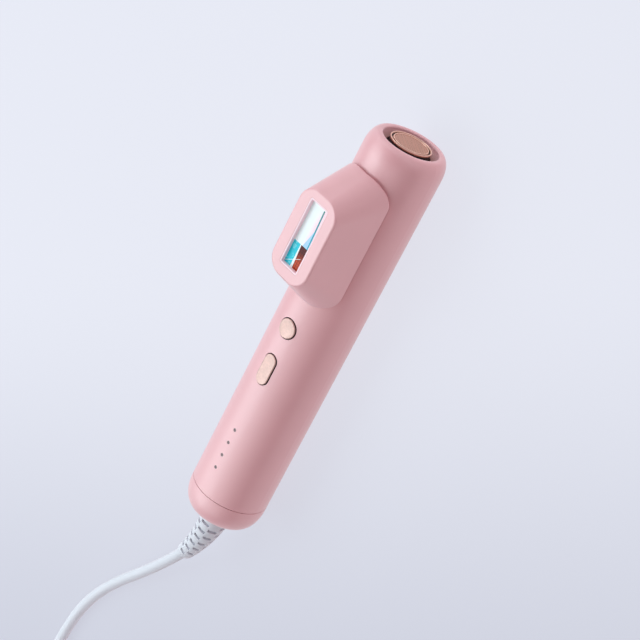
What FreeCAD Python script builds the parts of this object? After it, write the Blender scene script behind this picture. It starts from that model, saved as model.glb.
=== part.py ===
import FreeCAD, Part
import math
import os

# IPL hair remover: a round handle tube lying on its back, with a plug-in lamp head on its front,
# two push buttons, four status lights, a fan behind an air vent in the top end, and a mains-adapter
# cord at the bottom end.
#
# Millimetres.  +Y runs along the tube to the top end, +Z is the direction the light leaves in,
# +X is to the right when the lamp head is looked at from above with +Y up.
# The handle's solids are built with the tube's axis on the Y axis and are lifted by the tube's
# radius when they are saved, so that the tube rests on z = 0.  The cord's solids are built in place.

Vec = FreeCAD.Vector
X_DIR, Y_DIR, Z_DIR = Vec(1, 0, 0), Vec(0, 1, 0), Vec(0, 0, 1)
ORIGIN = Vec(0, 0, 0)

# ---------------------------------------------------------------- driving dimensions
TUBE_R = 19.0            # outside radius of the handle tube
WALL = 2.0               # its wall
LENGTH = 206.5           # bottom of the cap to the top plane
BORE_R = TUBE_R - WALL

CAP_SEAM = 13.7          # the bottom cap's seam, from the bottom
CAP_ROUND_AXIAL, CAP_ROUND_RADIAL = 11.4, 5.9
TOP_ROUND_AXIAL, TOP_ROUND_RADIAL = 8.5, 4.1
SEAM_GAP = 0.3

RECESS_R = 13.3          # round recess in the top end
RECESS_LIP = 0.9         # rounding of its rim
RECESS_DEPTH = 3.6
RECESS_BEND = (12.7, 1.1)            # radius and height above the foot where its wall turns in
THROAT_R = 10.8          # the recess narrows to this at its foot, a slit's width from the disc
THROAT_WALL = 0.8
THROAT_PLANE = LENGTH - RECESS_DEPTH
SHOULDER_R, SHOULDER_DROP = 14.2, 6.2      # inside of the tube behind the recess
DISC_R = 9.9
VENT_BASE, VENT_FACE = LENGTH - 0.9, LENGTH - 0.3   # planes of the vent's ring and disc
VENT_RING_BORE = 9.2
VENT_DISC_R, VENT_DISC_FACE_R, VENT_DISC_BEVEL = 8.6, 7.6, 0.5

HEAD_AT = 158.1          # station of the lamp head's centre
HEAD_FACE_Z = 39.7       # its face, above the tube's axis
HEAD_FACE = (11.7, 21.25, 8.5)      # half width, half length and corner radius of the face
HEAD_FOOT_Z = 11.0
HEAD_FOOT = (15.5, 38.9, 14.7)      # the same at the foot plane
HEAD_WALL = 2.0
HEAD_GAP = 0.5           # shadow gap between the head's edge and the tube
HEAD_FACE_ROUND, HEAD_FOOT_ROUND = 1.1, 0.8
HEAD_OPENING = (12.5, 30.4, 9.4)    # half width, half length and corner radius of the tube's hole

WINDOW_HALF = (5.0, 16.0)            # half width and half length of the light window
WINDOW_AT = 158.7
FRAME_WIDTH = 0.7
FRAME_CORNER = 0.9
GLASS_DROP, GLASS_THICK = 2.0, 1.2   # the front glass below the face, and its thickness

BUTTON_GAP = 0.45
BUTTON_PROUD = 0.7       # height of a button's crown above the tube
BUTTON_SKIRT = 0.2       # height above the tube where its coloured cap begins
ROUND_AT, ROUND_HOLE_R = 108.2, 5.1
OVAL_AT, OVAL_HOLE_HALF = 85.45, (3.85, 8.3)
DISH_DEPTH, DISH_R = 0.4, 24.0  # shallow finger dish in each button's crown

LED_FIRST, LED_PITCH, LED_COUNT = 28.8, 7.23, 4
LED_HOLE_R = 0.85

SLOT_COUNT, SLOT_PITCH = 8, 7.0      # hidden air outlets in the back
SLOT_HALF = (1.1, 5.0)
SLOT_ANGLES = (140.0, 220.0)

CUT_LOW, CUT_HIGH = 5.0, TUBE_R + 5  # heights between which the openings are cut in the tube
FIT = 0.1                # clearance between pieces that are assembled together
ROUND_END = 0.01         # a slot's corner radius is its half width less this

CORD_D = 5.6
CORD_R = CORD_D / 2
RELIEF_ROOT_R, RELIEF_TIP_R = 7.5, 4.25
RELIEF_REACH = Vec(-8.4, -32.85, -3.0)     # from the housing to the relief's tip

# Route of the cord from the relief's tip to the coil, and from the coil to the adapter.
LEAD_ROUTE = [
    (-8.4, -136.1, 16.0), (-15.6, -147.9, 12.6), (-24.6, -161.5, 8.3), (-34.3, -175.4, 4.5),
    (-44.4, -189.6, 2.8), (-53.0, -204.8, 2.8), (-58.9, -222.0, 2.8), (-61.2, -241.0, 2.8),
    (-61.3, -261.0, 2.8), (-60.3, -281.0, 2.8), (-59.7, -298.0, 2.8),
]
TAIL_ROUTE = [(8.0, -306.0, 14.0), (8.5, -294.5, 14.0), (9.6, -283.5, 14.0)]

COIL_CENTRE = (-23.0, -311.0)
COIL_MEAN_R = 31.0
COIL_LAYERS = 3          # layers up, and also turns side by side
ADAPTER_AT = Vec(9.6, -242.0, 14.0)
ADAPTER_HALF = (20.0, 25.0, 14.0)
ADAPTER_ROUND = 4.0
ADAPTER_RELIEF_R = (5.2, 3.6)        # at the adapter and at the cord
PIN_ROUND = 0.5
PIN_SPACING, PIN_LENGTH, PIN_WIDTH, PIN_THICK = 12.7, 16.0, 6.3, 1.5

os.makedirs("parts", exist_ok=True)


# ---------------------------------------------------------------- helpers
def station(distance):
    """Y of a place given by its distance from the bottom end."""
    return distance - LENGTH / 2


def save(name, *solids):
    """Write a node of the handle, lifted so that the tube rests on the floor."""
    shape = solids[0] if len(solids) == 1 else Part.makeCompound(list(solids))
    shape = shape.copy()
    shape.translate(Vec(0, 0, TUBE_R))
    shape.exportStep("parts/" + name + ".step")


def save_in_place(name, *solids):
    shape = solids[0] if len(solids) == 1 else Part.makeCompound(list(solids))
    shape.exportStep("parts/" + name + ".step")


def fuse(*solids):
    return solids[0].multiFuse(list(solids[1:])).removeSplitter()


def cut(body, *tools):
    for tool in tools:
        body = body.cut(tool)
    return body


def box(x0, x1, a0, a1, z0, z1):
    """A box between two X, two stations and two heights above the axis."""
    return Part.makeBox(x1 - x0, a1 - a0, z1 - z0, Vec(x0, station(a0), z0))


def rod_y(radius, a0, a1, x=0.0, z=0.0):
    """Cylinder along the tube, with its seam line at the back."""
    rod = Part.makeCylinder(radius, a1 - a0, Vec(x, station(a0), z), Y_DIR)
    rod.rotate(Vec(x, 0, z), Y_DIR, 180)
    return rod


def ring_y(outer, inner, a0, a1):
    return rod_y(outer, a0, a1).cut(rod_y(inner, a0 - 1, a1 + 1))


def rod_z(radius, x, at, z0, z1):
    return Part.makeCylinder(radius, z1 - z0, Vec(x, station(at), z0), Z_DIR)


def rounded_wire(half_w, half_l, corner, at, z):
    """A rounded rectangle in a plane of constant z: four lines and four arcs."""
    centre = Vec(0, station(at), z)
    edges = []
    signs = ((1, 1), (-1, 1), (-1, -1), (1, -1))
    corners = [centre + Vec(sx * (half_w - corner), sy * (half_l - corner), 0) for sx, sy in signs]
    for index, middle in enumerate(corners):
        start = index * 90
        arc = Part.makeCircle(corner, middle, Z_DIR, start, start + 90)
        leaving = math.radians(start + 90)
        end = middle + Vec(math.cos(leaving), math.sin(leaving), 0) * corner
        following = corners[(index + 1) % 4] + Vec(math.cos(leaving), math.sin(leaving), 0) * corner
        edges.append(arc)
        if (following - end).Length > 1e-3:
            edges.append(Part.makeLine(end, following))
    return Part.Wire(edges)


def rounded_block(half_w, half_l, corner, at, z0, z1):
    face = Part.Face(rounded_wire(half_w, half_l, corner, at, z0))
    return face.extrude(Vec(0, 0, z1 - z0))


def elliptic_arc(centre_r, centre_a, axial, radial, top):
    """Quarter ellipse of an end rounding, as an edge in the radius and station plane."""
    centre = Vec(centre_r, station(centre_a), 0)
    ellipse = Part.Ellipse(centre + Vec(0, axial, 0), centre + Vec(radial, 0, 0), centre)
    ends = [centre + Vec(radial, 0, 0), centre + Vec(0, axial if top else -axial, 0)]
    along = sorted(ellipse.parameter(end) for end in ends)
    if along[1] - along[0] > math.pi:
        along = [along[1], along[0] + 2 * math.pi]
    return ellipse.toShape(along[0], along[1])


def profile_line(points):
    """Straight edges through (radius, station) points."""
    places = [Vec(r, station(a), 0) for r, a in points]
    return [Part.makeLine(p, q) for p, q in zip(places[:-1], places[1:])]


def revolve(edges):
    wire = Part.Wire(Part.__sortEdges__(edges))
    return Part.Face(wire).revolve(ORIGIN, Y_DIR, 360)


def turned(points):
    """Solid of revolution about the tube's axis from a closed (radius, station) outline."""
    return revolve(profile_line(points + points[:1]))


def biggest(shape):
    return max(shape.Solids, key=lambda solid: solid.Volume)


# ---------------------------------------------------------------- housing
def slot_hole(half_w, half_l, at):
    """Tool for a hole with two round ends."""
    return rounded_block(half_w, half_l, min(half_w, half_l) - ROUND_END, at, CUT_LOW, CUT_HIGH)


def make_main_tube():
    low = CAP_SEAM + SEAM_GAP / 2
    shoulder = LENGTH - TOP_ROUND_AXIAL
    crown_r = TUBE_R - TOP_ROUND_RADIAL
    underside = THROAT_PLANE - THROAT_WALL
    lip_centre = Vec(RECESS_R + RECESS_LIP, station(LENGTH - RECESS_LIP), 0)
    edges = profile_line([(TUBE_R, low), (TUBE_R, shoulder)])
    edges.append(elliptic_arc(crown_r, shoulder, TOP_ROUND_AXIAL, TOP_ROUND_RADIAL, True))
    edges += profile_line([(crown_r, LENGTH), (RECESS_R + RECESS_LIP, LENGTH)])
    edges.append(Part.makeCircle(RECESS_LIP, lip_centre, Z_DIR, 90, 180))
    lip_end = Vec(RECESS_R, station(LENGTH - RECESS_LIP), 0)
    wall_bend = Vec(RECESS_BEND[0], station(THROAT_PLANE + RECESS_BEND[1]), 0)
    edges.append(Part.Arc(lip_end, wall_bend, Vec(THROAT_R, station(THROAT_PLANE), 0)).toShape())
    edges += profile_line([(THROAT_R, THROAT_PLANE), (THROAT_R, underside), (SHOULDER_R, underside),
                           (BORE_R, THROAT_PLANE - SHOULDER_DROP), (BORE_R, low), (TUBE_R, low)])
    tube = revolve(edges)
    tools = [rounded_block(*HEAD_OPENING, HEAD_AT, CUT_LOW, CUT_HIGH),
             rod_z(ROUND_HOLE_R, 0, ROUND_AT, CUT_LOW, CUT_HIGH),
             slot_hole(*OVAL_HOLE_HALF, OVAL_AT)]
    for index in range(LED_COUNT):
        tools.append(rod_z(LED_HOLE_R, 0, LED_FIRST + index * LED_PITCH, CUT_LOW, CUT_HIGH))
    first_slot = HEAD_AT - SLOT_PITCH * (SLOT_COUNT - 1) / 2
    for angle in SLOT_ANGLES:
        for index in range(SLOT_COUNT):
            slot = slot_hole(SLOT_HALF[1], SLOT_HALF[0], first_slot + index * SLOT_PITCH)
            slot.rotate(ORIGIN, Y_DIR, angle)
            tools.append(slot)
    return cut(tube, *tools)


def make_bottom_cap():
    top = CAP_SEAM - SEAM_GAP / 2
    flat_r = TUBE_R - CAP_ROUND_RADIAL
    hole_r, spigot_r, spigot_wall, spigot_top = 5.2, BORE_R - 0.15, 1.5, 18.6
    floor_r, floor_top, wall_from = 11.0, WALL + 0.4, 9.5
    edges = profile_line([(hole_r, 0), (flat_r, 0)])
    edges.append(elliptic_arc(flat_r, CAP_ROUND_AXIAL, CAP_ROUND_AXIAL, CAP_ROUND_RADIAL, False))
    edges += profile_line([(TUBE_R, CAP_ROUND_AXIAL), (TUBE_R, top), (spigot_r, top),
                           (spigot_r, spigot_top), (spigot_r - spigot_wall, spigot_top),
                           (spigot_r - spigot_wall, wall_from), (floor_r, floor_top),
                           (hole_r, floor_top), (hole_r, 0)])
    return revolve(edges)


def make_vent_liner():
    """Black spider under the recess: a rim, six spokes and the drum that carries the disc."""
    base, spoke_thick, spoke_half, spokes = LENGTH - 6.9, 1.5, 0.9, 6
    rim_outer, rim_inner = 13.6, 12.4
    drum_wall, drum_lid = 1.4, 1.7
    rim = ring_y(rim_outer, rim_inner, base, THROAT_PLANE - THROAT_WALL - FIT)
    drum = rod_y(DISC_R - FIT, base, VENT_BASE)
    parts = [rim, drum]
    for index in range(spokes):
        spoke = box(8.0, 13.0, base, base + spoke_thick, -spoke_half, spoke_half)
        spoke.rotate(ORIGIN, Y_DIR, index * 360 / spokes + 15)
        parts.append(spoke)
    return fuse(*parts).cut(rod_y(DISC_R - drum_wall, base - 1, VENT_BASE - drum_lid))


def make_vent_ring():
    edge = 0.2
    return turned([(VENT_RING_BORE, VENT_BASE), (DISC_R, VENT_BASE), (DISC_R, VENT_FACE - edge),
                   (DISC_R - edge, VENT_FACE), (VENT_RING_BORE + edge, VENT_FACE),
                   (VENT_RING_BORE, VENT_FACE - edge)])


def make_vent_disc():
    """Round plate with a bevelled edge that stands in the middle of the ring."""
    return turned([(0, VENT_BASE), (VENT_DISC_R, VENT_BASE), (VENT_DISC_R, VENT_FACE - VENT_DISC_BEVEL),
                   (VENT_DISC_FACE_R, VENT_FACE), (0, VENT_FACE)])


# ---------------------------------------------------------------- chassis and electronics
CHASSIS_R, CHASSIS_BORE = BORE_R - 0.3, BORE_R - 1.7
CHASSIS_FROM, CHASSIS_TO = 20.0, 126.0
SCREW_X = 11.8
SCREW_STATIONS = (23.5, 74.5, 122.0)
SCREW_HEAD_Z = -7.0
BOSS_R, BOSS_TOP, PILOT_R, CLEAR_R = 2.4, 9.0, 0.85, 1.0
SCREW_HEAD_R, SCREW_HEAD_THICK, SHANK_R = 1.9, 1.4, 0.8
SPLIT = 0.1              # half the gap between the two chassis halves


def make_chassis(side):
    """Half of the inner chassis: side +1 is the front (button) half, -1 the back half."""
    shell = ring_y(CHASSIS_R, CHASSIS_BORE, CHASSIS_FROM, CHASSIS_TO)
    keep = box(-TUBE_R, TUBE_R, CHASSIS_FROM - 1, CHASSIS_TO + 1, SPLIT, TUBE_R)
    parts = []
    tools = []
    for at in SCREW_STATIONS:
        for x in (-SCREW_X, SCREW_X):
            parts.append(rod_z(BOSS_R, x, at, SPLIT, BOSS_TOP))
            if side > 0:
                tools.append(rod_z(PILOT_R, x, at, -1, BOSS_TOP - 3))
            else:
                tools.append(rod_z(CLEAR_R, x, at, -1, BOSS_TOP + 3))
                tools.append(rod_z(SCREW_HEAD_R + 2 * FIT, x, at, -SCREW_HEAD_Z, TUBE_R))
    half = fuse(shell.common(keep), *parts)
    if side < 0:
        half.rotate(ORIGIN, Y_DIR, 180)
        tools = [tool.copy() for tool in tools]
        for tool in tools:
            tool.rotate(ORIGIN, Y_DIR, 180)
    else:
        led_half, button_half, shelf = 2.4, 6.6, 10
        led_last = LED_FIRST + LED_PITCH * (LED_COUNT - 1)
        tools.append(box(-led_half, led_half, LED_FIRST - 3, led_last + 3, shelf, TUBE_R))
        tools.append(box(-button_half, button_half, OVAL_AT - 10.5, ROUND_AT + 7, shelf, TUBE_R))
    return biggest(cut(half, *tools))


def make_chassis_screws():
    screws = []
    for at in SCREW_STATIONS:
        for x in (-SCREW_X, SCREW_X):
            head = rod_z(SCREW_HEAD_R, x, at, SCREW_HEAD_Z - SCREW_HEAD_THICK, SCREW_HEAD_Z)
            shank = rod_z(SHANK_R, x, at, SCREW_HEAD_Z, BOSS_TOP - 3.5)
            slot = box(x - 1.2, x + 1.2, at - 0.25, at + 0.25, SCREW_HEAD_Z - 2, SCREW_HEAD_Z - 0.8)
            screws.append(fuse(head, shank).cut(slot))
    return screws


CAN_R, CAN_FROM, CAN_TO, CAN_Z = 10.5, 36.0, 71.0, -3.6
BOARD_TOP = 0.0
BOARD = (14.0, 78.0, 118.0, BOARD_TOP - 1.6, BOARD_TOP)
SWITCH_BOARD_Z = 10.6
LED_BOARD_Z = 11.9
BOARD_THICK = 1.2        # of the two small boards


def make_capacitor():
    can = rod_y(CAN_R, CAN_FROM, CAN_TO, 0, CAN_Z)
    groove_from, groove_width, groove_depth = CAN_FROM + 3, 1.2, 0.6
    groove = rod_y(CAN_R + 1, groove_from, groove_from + groove_width, 0, CAN_Z)
    groove = groove.cut(rod_y(CAN_R - groove_depth, CAN_FROM, CAN_TO, 0, CAN_Z))
    pin_r, pin_spacing = 0.5, 7.5
    pins = [rod_y(pin_r, CAN_TO - 1, CAN_TO + 5, side * pin_spacing / 2, CAN_Z) for side in (-1, 1)]
    return fuse(can.cut(groove), *pins)


def make_capacitor_clip():
    """Split ring round the can, with a foot on each side that reaches the chassis."""
    middle, half_l, wall, foot = (CAN_FROM + CAN_TO) / 2, 4.0, 1.0, 2.2
    low, high = middle - half_l, middle + half_l
    ring = rod_y(CAN_R + FIT + wall, low, high, 0, CAN_Z)
    ring = ring.cut(rod_y(CAN_R + FIT, low - 1, high + 1, 0, CAN_Z))
    gap = box(-3, 3, low - 1, high + 1, 5, 12)
    feet = []
    for side in (-1, 1):
        x0, x1 = sorted((side * (CAN_R + 0.9), side * (CAN_R + 0.9 + foot)))
        feet.append(box(x0, x1, low, high, -6.5, -4.0))
    return fuse(ring.cut(gap), *feet)


def make_board_components():
    """Parts on the main board: chips, a choke, two small capacitors and a connector."""
    half_w, low, high, bottom, top = BOARD
    parts = [box(-9, -2, low + 4, low + 11, top, top + 1.2),
             box(2, 8, low + 3, low + 9, top, top + 1.2),
             box(-11, -6, high - 12, high - 3, top, top + 4.0),
             box(8.5, 12.5, low + 13, low + 25, top, top + 3.0)]
    parts += [rod_z(2.4, x, low + 19, top, top + 7.0) for x in (-5.0, 0.6)]
    choke = rod_z(4.2, 1.5, high - 6.5, top, top + 4.6)
    choke = choke.cut(rod_z(1.7, 1.5, high - 6.5, top - 1, top + 6))
    parts.append(choke)
    parts += [box(x, x + 1.6, low + 29, low + 30, top, top + 0.6) for x in (-4, -1, 2, 5, 8)]
    return parts


def make_trigger_transformer():
    half_w, low, high, bottom, top = BOARD
    core = box(-6.5, 6.5, high - 18, high - 4, bottom - 9.6, bottom)
    winding = box(-7.4, 7.4, high - 15.5, high - 6.5, bottom - 8.2, bottom - 1.4)
    return fuse(core, winding)


def make_power_switch_block():
    """Power transistor on a small aluminium tab under the main board."""
    half_w, low, high, bottom, top = BOARD
    tab = box(-9, 9, low + 1.5, low + 3.0, bottom - 9, bottom)
    package = box(-5, 5, low + 3.0, low + 7.5, bottom - 9, bottom - 1.0)
    return fuse(tab, package)


def make_small_board(half_w, low, high, z):
    return box(-half_w, half_w, low, high, z, z + BOARD_THICK)


def make_tact_switches():
    base = SWITCH_BOARD_Z + BOARD_THICK
    half, body_top, plunger_top = 2.25, base + 1.5, base + 2.0
    switches = []
    for at in (OVAL_AT, ROUND_AT):
        body = box(-half, half, at - half, at + half, base, body_top)
        switches.append(fuse(body, rod_z(1.1, 0, at, body_top, plunger_top)))
    return switches


def make_leds():
    base, half, height = LED_BOARD_Z + BOARD_THICK, 0.8, 0.6
    return [box(-half, half, at - half, at + half, base, base + height)
            for at in (LED_FIRST + index * LED_PITCH for index in range(LED_COUNT))]


def make_light_guide():
    """Clear bar with one round pin per status light, each reaching the tube's surface."""
    low, half_w, thick = LED_BOARD_Z + 2.0, 1.6, 1.0
    last = LED_FIRST + (LED_COUNT - 1) * LED_PITCH
    bar = box(-half_w, half_w, LED_FIRST - 2, last + 2, low, low + thick)
    pins = [rod_z(LED_HOLE_R - FIT / 2, 0, LED_FIRST + index * LED_PITCH, low, TUBE_R - FIT)
            for index in range(LED_COUNT)]
    return fuse(bar, *pins)


TERMINAL_STATIONS = (26.0, 33.0)
LEAD_X, LEAD_Z, LEAD_R = 3.0, -3.0, 0.9


def make_terminal_block():
    block = box(-6, 6, *TERMINAL_STATIONS, -8, 0)
    low = TERMINAL_STATIONS[0]
    return cut(block, *[rod_y(1.6, low - 1, low + 3, side * LEAD_X, LEAD_Z) for side in (-1, 1)])


def make_lead_wires():
    """Two insulated wires from the cord's end to the terminal block."""
    wires = []
    for x in (-LEAD_X, LEAD_X):
        points = [(x * 0.4, 12.5, -1.0), (x, 18.0, -2.0), (x, TERMINAL_STATIONS[0] + 1, LEAD_Z)]
        route = [(px, station(pa), pz) for px, pa, pz in points]
        wires.append(arc_tube(route, LEAD_R)[0])
    return wires


def make_cord_clamp():
    low, high, half_w, half_h = 6.0, 11.0, 8.5, 5.5
    clamp = box(-half_w, half_w, low, high, -half_h, half_h)
    return clamp.cut(rod_y(CORD_R, low - 1, high + 1))


# ---------------------------------------------------------------- cooling and lamp socket
TRAY = (13.6, 31.2, 9.6)
TRAY_LOW, TRAY_FLOOR, TRAY_HIGH, TRAY_WALL = 4.0, 5.4, 9.6, 1.2
MAGNET_R, MAGNET_THICK = 2.0, 1.6


def make_socket_tray():
    """Open tray under the tube's opening that the lamp head's foot drops into."""
    half_w, half_l, corner = TRAY
    block = rounded_block(half_w, half_l, corner, HEAD_AT, TRAY_LOW, TRAY_HIGH)
    pocket = rounded_block(half_w - TRAY_WALL, half_l - TRAY_WALL, corner - TRAY_WALL, HEAD_AT,
                           TRAY_FLOOR, TRAY_HIGH + 1)
    return block.cut(pocket)


CONTACT_STATIONS = [HEAD_AT + offset for offset in (-15.0, -9.0, 9.0, 15.0)]
MAGNET_PLACES = [(x, HEAD_AT + offset) for x in (-7.5, 7.5) for offset in (-24.0, 24.0)]


def make_socket_contacts():
    return [rod_z(1.6, 0, at, TRAY_FLOOR, TRAY_FLOOR + 1.0) for at in CONTACT_STATIONS]


def make_latch_magnets():
    return [rod_z(MAGNET_R, x, at, TRAY_FLOOR, TRAY_FLOOR + MAGNET_THICK) for x, at in MAGNET_PLACES]


def make_heat_sink():
    low, high, plate, half_w = HEAD_AT - 29, HEAD_AT + 28, TRAY_LOW - 2.0, 12.5
    fins, pitch, half_fin = 9, 2.8, 0.6
    parts = [box(-half_w, half_w, low, high, plate, TRAY_LOW)]
    for index in range(fins):
        x = (index - (fins - 1) / 2) * pitch
        parts.append(box(x - half_fin, x + half_fin, low, high, -TUBE_R, plate))
    return biggest(fuse(*parts).common(rod_y(BORE_R - 1.5, low - 1, high + 1)))


FAN_LOW, FAN_HIGH = LENGTH - 15.3, LENGTH - 7.0
FAN_BORE, FAN_OUTER = 12.6, 13.9
FAN_BACK = 1.2           # thickness of the housing's struts and motor seat
MAGNET_BORE, HUB_BORE, HUB_R = 3.9, 4.7, 5.4
STATOR_R, STATOR_BORE, SHAFT_R = 3.5, 0.8, 0.75


def make_fan_housing():
    seat_r, half_strut, struts = 4.6, 0.8, 4
    back = FAN_LOW + FAN_BACK
    parts = [ring_y(FAN_OUTER, FAN_BORE, FAN_LOW, FAN_HIGH), rod_y(seat_r, FAN_LOW, back)]
    for index in range(struts):
        strut = box(seat_r - 1.1, FAN_BORE + 0.3, FAN_LOW, back, -half_strut, half_strut)
        strut.rotate(ORIGIN, Y_DIR, index * 360 / struts + 45)
        parts.append(strut)
    return fuse(*parts).cut(rod_y(1.0, FAN_LOW - 1, back + 1))


def make_fan_stator():
    return ring_y(STATOR_R, STATOR_BORE, FAN_LOW + FAN_BACK, FAN_LOW + FAN_BACK + 4)


def make_impeller():
    """Cup-shaped hub with seven pitched blades."""
    low, high = FAN_LOW + 1.8, FAN_HIGH - 0.6
    blade_count, blade_pitch, half_blade, tip_gap = 7, 38, 0.4, 0.5
    hub = rod_y(HUB_R, low, high).cut(rod_y(HUB_BORE, low - 1, high - 1))
    sweep = ring_y(FAN_BORE - tip_gap, HUB_R - 0.5, low, high)
    blades = []
    for index in range(blade_count):
        blade = box(HUB_R - 0.4, FAN_BORE - 0.6, low + 0.4, high - 0.4, -half_blade, half_blade)
        blade.rotate(Vec(0, station((low + high) / 2), 0), X_DIR, blade_pitch)
        blade.rotate(ORIGIN, Y_DIR, index * 360 / blade_count)
        blades.append(blade.common(sweep))
    return fuse(hub, *blades)


def make_rotor_magnet():
    return ring_y(HUB_BORE, MAGNET_BORE, FAN_LOW + 2.0, FAN_HIGH - 2.2)


def make_fan_shaft():
    return rod_y(SHAFT_R, FAN_LOW + 1.4, FAN_HIGH - 1.6)


# ---------------------------------------------------------------- buttons
FLANGE_LOW, FLANGE_HIGH = 14.9, 15.7
ROUND_FLANGE, OVAL_FLANGE = 0.75, 1.1      # how far the flanges reach past the holes
CROWN_ROUND = 0.42
STEM_INSET = 0.04        # the dark stem is this much slimmer than the crown
SKIRT_R = TUBE_R + BUTTON_SKIRT
CROWN_R = TUBE_R + BUTTON_PROUD


def cap_from(block):
    """Crown of a button: it follows the tube's curve, stands proud and has a soft edge."""
    body = block.common(rod_y(CROWN_R, 0, LENGTH)).cut(rod_y(SKIRT_R, 0, LENGTH))
    rim = [edge for edge in body.Edges if edge.BoundBox.ZMax > CROWN_R - 0.02]
    return body.makeFillet(CROWN_ROUND, rim)


def stem_from(block, flange):
    """Dark body of a button under its crown, with a flange that holds it in the tube."""
    return fuse(block.common(rod_y(SKIRT_R, 0, LENGTH)), flange)


def round_button(radius, z0, z1):
    return rod_z(radius, 0, ROUND_AT, z0, z1)


def oval_button(extra, z0, z1):
    half_w, half_l = (half + extra for half in OVAL_HOLE_HALF)
    return rounded_block(half_w, half_l, half_w - ROUND_END, OVAL_AT, z0, z1)


def dish(at, half_run):
    """Tool for a finger dish whose deepest line runs along Y for half_run each side of at."""
    z = CROWN_R - DISH_DEPTH + DISH_R
    ends = [Part.makeSphere(DISH_R, Vec(0, station(at + side * half_run), z)) for side in (-1, 1)]
    if not half_run:
        return ends[0]
    run = Part.makeCylinder(DISH_R, 2 * half_run, Vec(0, station(at - half_run), z), Y_DIR)
    return run.fuse(ends).removeSplitter()


def make_power_button_cap():
    cap = cap_from(round_button(ROUND_HOLE_R - BUTTON_GAP, FLANGE_HIGH, CUT_HIGH))
    return cap.cut(dish(ROUND_AT, 0))


def make_mode_button_cap():
    cap = cap_from(oval_button(-BUTTON_GAP, FLANGE_HIGH, CUT_HIGH))
    return cap.cut(dish(OVAL_AT, OVAL_HOLE_HALF[1] - OVAL_HOLE_HALF[0]))


def make_power_button_stem():
    body = round_button(ROUND_HOLE_R - BUTTON_GAP - STEM_INSET, FLANGE_LOW, CUT_HIGH)
    return stem_from(body, round_button(ROUND_HOLE_R + ROUND_FLANGE, FLANGE_LOW, FLANGE_HIGH))


def make_mode_button_stem():
    body = oval_button(-BUTTON_GAP - STEM_INSET, FLANGE_LOW, CUT_HIGH)
    return stem_from(body, oval_button(OVAL_FLANGE, FLANGE_LOW, FLANGE_HIGH))


# ---------------------------------------------------------------- lamp head
def head_section(z, inset):
    """Half width, half length and corner radius of the head at a height, inset from outside."""
    share = (HEAD_FACE_Z - z) / (HEAD_FACE_Z - HEAD_FOOT_Z)
    size = [top + (foot - top) * share for top, foot in zip(HEAD_FACE, HEAD_FOOT)]
    end_slope = math.cos(math.atan2(HEAD_FOOT[1] - HEAD_FACE[1], HEAD_FACE_Z - HEAD_FOOT_Z))
    return (size[0] - inset, size[1] - inset / end_slope, size[2] - inset)


def head_loft(z_low, z_high, inset):
    wires = [rounded_wire(*head_section(z, inset), HEAD_AT, z) for z in (z_low, z_high)]
    return Part.makeLoft(wires, True, True)


def make_head_shell():
    outer = head_loft(HEAD_FOOT_Z, HEAD_FACE_Z, 0.0)
    saddle_r = TUBE_R + HEAD_GAP
    outer = outer.cut(rod_y(saddle_r, 0, LENGTH + TUBE_R))
    face_edges = [edge for edge in outer.Edges if edge.BoundBox.ZMin > HEAD_FACE_Z - 0.1]
    outer = outer.makeFillet(HEAD_FACE_ROUND, face_edges)
    foot_edges = [edge for edge in outer.Edges
                  if edge.BoundBox.ZMax < saddle_r + 0.2 and edge.Length > 0.5
                  and all(abs(math.hypot(v.X, v.Z) - saddle_r) < 0.02 for v in edge.Vertexes)]
    outer = outer.makeFillet(HEAD_FOOT_ROUND, foot_edges)
    inner = head_loft(HEAD_FOOT_Z, HEAD_FACE_Z - HEAD_WALL, HEAD_WALL)
    half_w, half_l = WINDOW_HALF
    seat = rounded_block(half_w + FRAME_WIDTH, half_l + FRAME_WIDTH, FRAME_CORNER, WINDOW_AT,
                         HEAD_FACE_Z - HEAD_WALL - 1, HEAD_FACE_Z + 1)
    return cut(outer, inner, seat)


def window_plate(half_extra, z0, z1):
    half_w, half_l = (half + half_extra for half in WINDOW_HALF)
    return rounded_block(half_w, half_l, 0.4, WINDOW_AT, z0, z1)


GLASS_TOP = HEAD_FACE_Z - GLASS_DROP
DUCT_TOP = GLASS_TOP - GLASS_THICK
FILTER_TOP, FILTER_THICK = 25.5, 2.0
LAMP_Z, LAMP_R, LAMP_HALF, LAMP_WALL = 17.5, 2.2, 18.0, 0.5
HOLDER_OFFSET = 20.2     # from the window's middle to the middle of each lamp holder
HOLDER_TOP = LAMP_Z + 4.0
ELECTRODE_R = 1.0
BASE = (11.5, 28.8, 8.4)             # half width, half length and corner radius
BASE_LOW, BASE_FLOOR, BASE_HIGH, BASE_WALL = 8.0, 9.6, 21.6, 1.3
CONTACT_R = 0.8


def make_window_frame():
    """Bright rim that lines the opening around the glass."""
    half_w, half_l = (half + FRAME_WIDTH - FIT for half in WINDOW_HALF)
    outer = rounded_block(half_w, half_l, FRAME_CORNER, WINDOW_AT, DUCT_TOP, HEAD_FACE_Z - FIT / 2)
    inner = rounded_block(*WINDOW_HALF, 0.25, WINDOW_AT, DUCT_TOP - 1, HEAD_FACE_Z + 1)
    return outer.cut(inner)


def make_light_duct():
    """Mirror-walled duct from the filter up to the front glass."""
    half_w, half_l = WINDOW_HALF
    wall = FRAME_WIDTH
    outer = rounded_block(half_w + wall, half_l + wall, wall, WINDOW_AT, FILTER_TOP, DUCT_TOP - FIT / 2)
    inner = rounded_block(half_w, half_l, 0.2, WINDOW_AT, FILTER_TOP - 1, DUCT_TOP + 1)
    return outer.cut(inner)


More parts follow.
